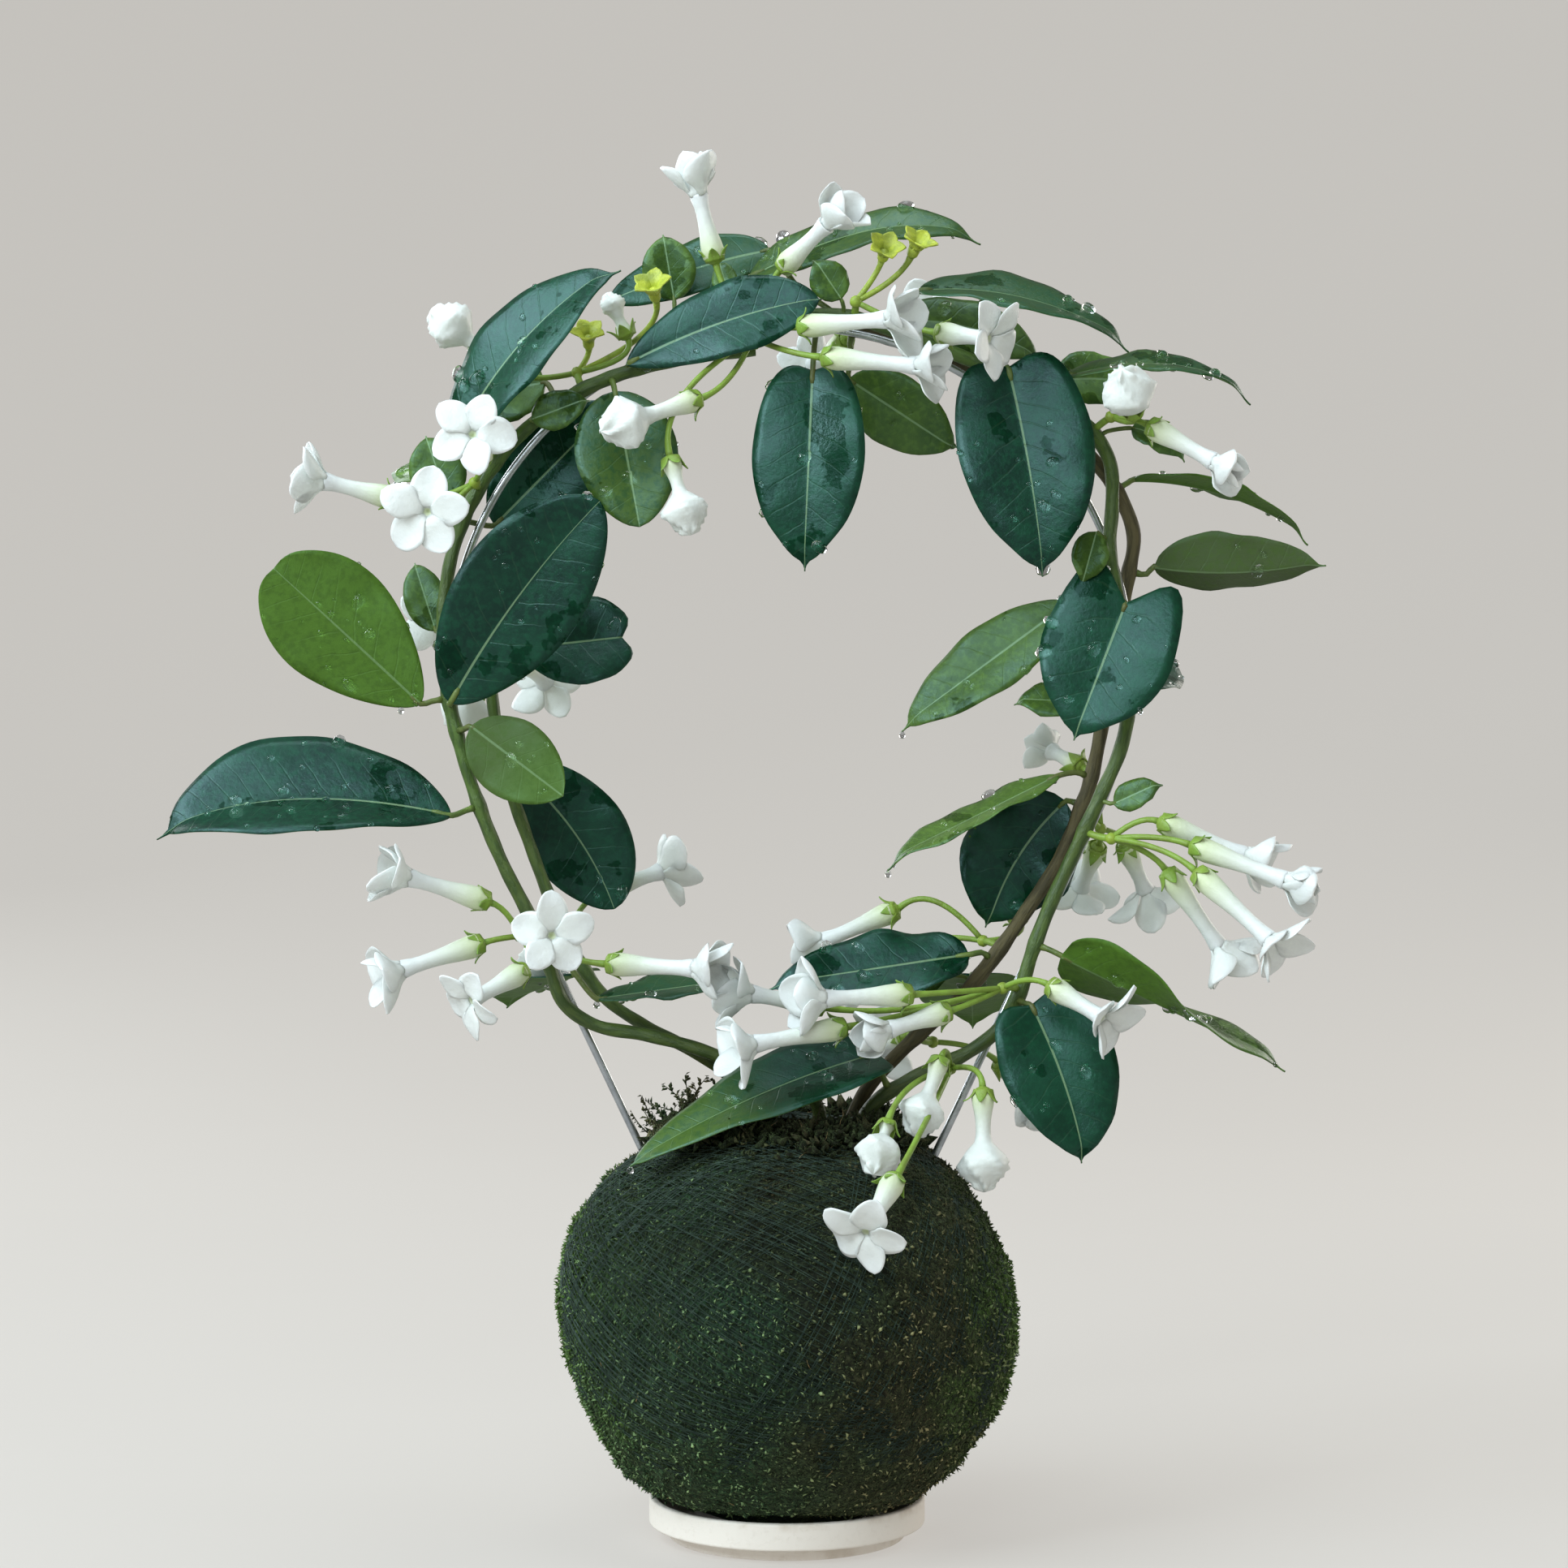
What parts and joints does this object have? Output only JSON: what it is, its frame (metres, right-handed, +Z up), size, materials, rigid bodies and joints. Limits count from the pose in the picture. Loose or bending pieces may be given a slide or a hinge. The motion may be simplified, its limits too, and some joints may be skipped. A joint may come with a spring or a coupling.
{
  "type": "potted climbing plant",
  "caption": "Moss ball plant: a flowering vine on a round wire hoop, growing from a moss-wrapped ball of soil in a small saucer.",
  "frame": {"origin": "centre of the saucer's flat underside", "axes": "+Z up; +X to the right and +Y away from the viewer, seen from the front; the wire hoop lies in the XZ plane"},
  "size_m": [0.4027, 0.1866, 0.4822],
  "materials": {
    "saucer_ceramic": "matte",
    "soil": "matte",
    "moss": "matte",
    "thread": "matte",
    "galvanised_wire": "satin",
    "green_stem": "satin",
    "woody_stem": "matte",
    "dark_leaf": "gloss",
    "olive_leaf": "satin",
    "pale_leaf": "matte",
    "flower": "satin"
  },
  "bodies": {
    "root": {"bunch_back_crown": "flower", "bunch_back_left": "flower", "bunch_ball_back": "flower", "bunch_ball_front": "flower", "bunch_crown_centre": "flower", "bunch_crown_left": "flower", "bunch_crown_right": "flower", "bunch_left_back": "flower", "bunch_left_low": "flower", "bunch_low_right": "flower", "bunch_low_right_back": "flower", "bunch_right_side": "flower", "bunch_right_side_back": "flower", "bunch_right_top": "flower", "bunch_upper_left": "flower", "leaf_back_left": "dark_leaf", "leaf_back_low": "dark_leaf", "leaf_back_right": "dark_leaf", "leaf_back_top_left": "olive_leaf", "leaf_centre_hanging": "dark_leaf", "leaf_centre_olive": "olive_leaf", "leaf_crown_arched": "dark_leaf", "leaf_crown_front": "dark_leaf", "leaf_crown_left_behind": "olive_leaf", "leaf_crown_left_front": "dark_leaf", "leaf_crown_long": "dark_leaf", "leaf_crown_olive": "olive_leaf", "leaf_crown_right_behind": "pale_leaf", "leaf_crown_right_narrow": "dark_leaf", "leaf_crown_top_behind": "dark_leaf", "leaf_inner_dark": "dark_leaf", "leaf_inner_oval": "dark_leaf", "leaf_left_behind": "dark_leaf", "leaf_left_broad": "dark_leaf", "leaf_left_hanging": "dark_leaf", "leaf_left_inner": "pale_leaf", "leaf_left_low": "dark_leaf", "leaf_left_pale": "pale_leaf", "leaf_low_left_long": "dark_leaf", "leaf_low_right_front": "dark_leaf", "leaf_low_right_long": "dark_leaf", "leaf_low_right_twisted": "olive_leaf", "leaf_over_ball": "dark_leaf", "leaf_right_arch": "olive_leaf", "leaf_right_drip": "olive_leaf", "leaf_right_far": "pale_leaf", "leaf_right_front": "dark_leaf", "leaf_right_heart": "dark_leaf", "leaf_right_olive": "olive_leaf", "leaf_right_wavy": "dark_leaf", "moss_wrap": "moss", "saucer": "saucer_ceramic", "soil_core": "soil", "stem_left_main": "green_stem", "stem_left_second": "green_stem", "stem_right_green": "green_stem", "stem_right_woody": "woody_stem", "thread_winding": "thread", "wire_hoop": "galvanised_wire"}
  },
  "joints": []
}
